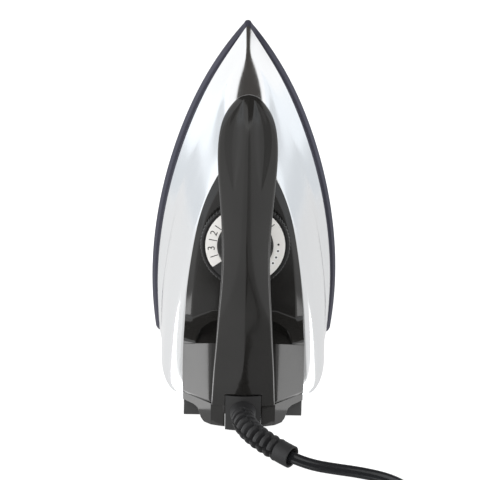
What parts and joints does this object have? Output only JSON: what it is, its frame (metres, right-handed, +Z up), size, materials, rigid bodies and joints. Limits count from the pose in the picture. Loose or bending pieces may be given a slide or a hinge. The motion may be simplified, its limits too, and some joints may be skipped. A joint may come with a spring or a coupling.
{
  "type": "clothes iron",
  "caption": "Compact dry clothes iron standing on its heel, with chrome shell, black grip handle, turning temperature dial under the handle, and a flat mains cord with plug.",
  "frame": {"origin": "bottom centre of the iron (without its cord) as it stands on its heel rest: midway across, midway between handle and ironing face, on the floor", "axes": "+Z up, from the heel rest to the tip; +Y out of the ironing face, with the handle on the -Y side; +X across the iron"},
  "size_m": [0.1443, 0.2703, 0.2144],
  "materials": {
    "coated_sole": "dark non-stick coated die-cast aluminium",
    "element_sheath": "annealed steel sheath",
    "inner_steel": "zinc-plated steel",
    "shell_chrome": "satin-bright chromed steel",
    "black_gloss": "glossy black moulding",
    "black_satin": "satin black moulding",
    "black_rubber": "matte black, fine grained",
    "silver_print": "satin silver printed foil",
    "felt": "pressed felt",
    "ceramic": "unglazed ceramic",
    "brass_parts": "stamped brass",
    "lead_sleeve": "glass-fibre sleeved lead",
    "cord_black": "black flexible cord compound",
    "blade_metal": "nickel-plated brass"
  },
  "bodies": {
    "body": {"soleplate": "coated_sole", "heating_element": "element_sheath", "heat_shield": "inner_steel", "shell": "shell_chrome", "saddle": "black_gloss", "thermostat_frame": "inner_steel", "thermostat_screws": "inner_steel", "ceramic_stack": "ceramic", "bimetal_strip": "brass_parts", "contact_spring": "brass_parts", "fixed_contact_blade": "brass_parts", "spindle_bush": "brass_parts", "dial_felt_washer": "felt", "handle_upper": "black_gloss", "handle_lower": "black_satin", "rear_cover": "black_gloss", "heel_feet": "black_rubber", "cord_inlet_block": "black_rubber", "terminal_block": "ceramic", "terminal_screws": "brass_parts", "mains_cores": "lead_sleeve", "element_seals": "ceramic", "element_pins": "inner_steel", "lead_live": "lead_sleeve", "lead_neutral": "lead_sleeve", "lead_fuse": "lead_sleeve", "lead_link": "lead_sleeve", "thermal_fuse": "inner_steel", "tie_studs": "inner_steel", "tie_nuts": "inner_steel", "handle_screws": "inner_steel", "rear_cover_screws": "inner_steel", "cord_boot": "cord_black", "power_cord": "cord_black", "cord_coil": "cord_black", "plug_body": "cord_black", "plug_blades": "blade_metal"},
    "dial": {"temperature_dial": "black_satin", "dial_scale_ring": "silver_print", "dial_cap": "black_gloss"},
    "spindle": {"dial_spindle": "inner_steel"},
    "leaf": {"regulating_leaf": "inner_steel"}
  },
  "joints": [
    {"name": "dial_turn", "type": "hinge", "parent": "body", "child": "dial", "pos_m": [0, 0.006, 0.0997], "axis": [0, 1, 0], "range_deg": [0, 250]},
    {"name": "spindle_feed", "type": "slide", "parent": "dial", "child": "spindle", "axis": [0, 1, 0], "range_m": [0, 0.0007]},
    {"name": "leaf_flex", "type": "hinge", "parent": "body", "child": "leaf", "pos_m": [0, 0.03145, 0.1049], "axis": [1, 0, 0], "range_deg": [0, 8.1]}
  ],
  "couplings": [
    {"joint": "spindle_feed", "follows": "dial_turn", "m_per_rad": 0.00015915},
    {"joint": "leaf_flex", "follows": "dial_turn", "ratio": 0.032}
  ]
}
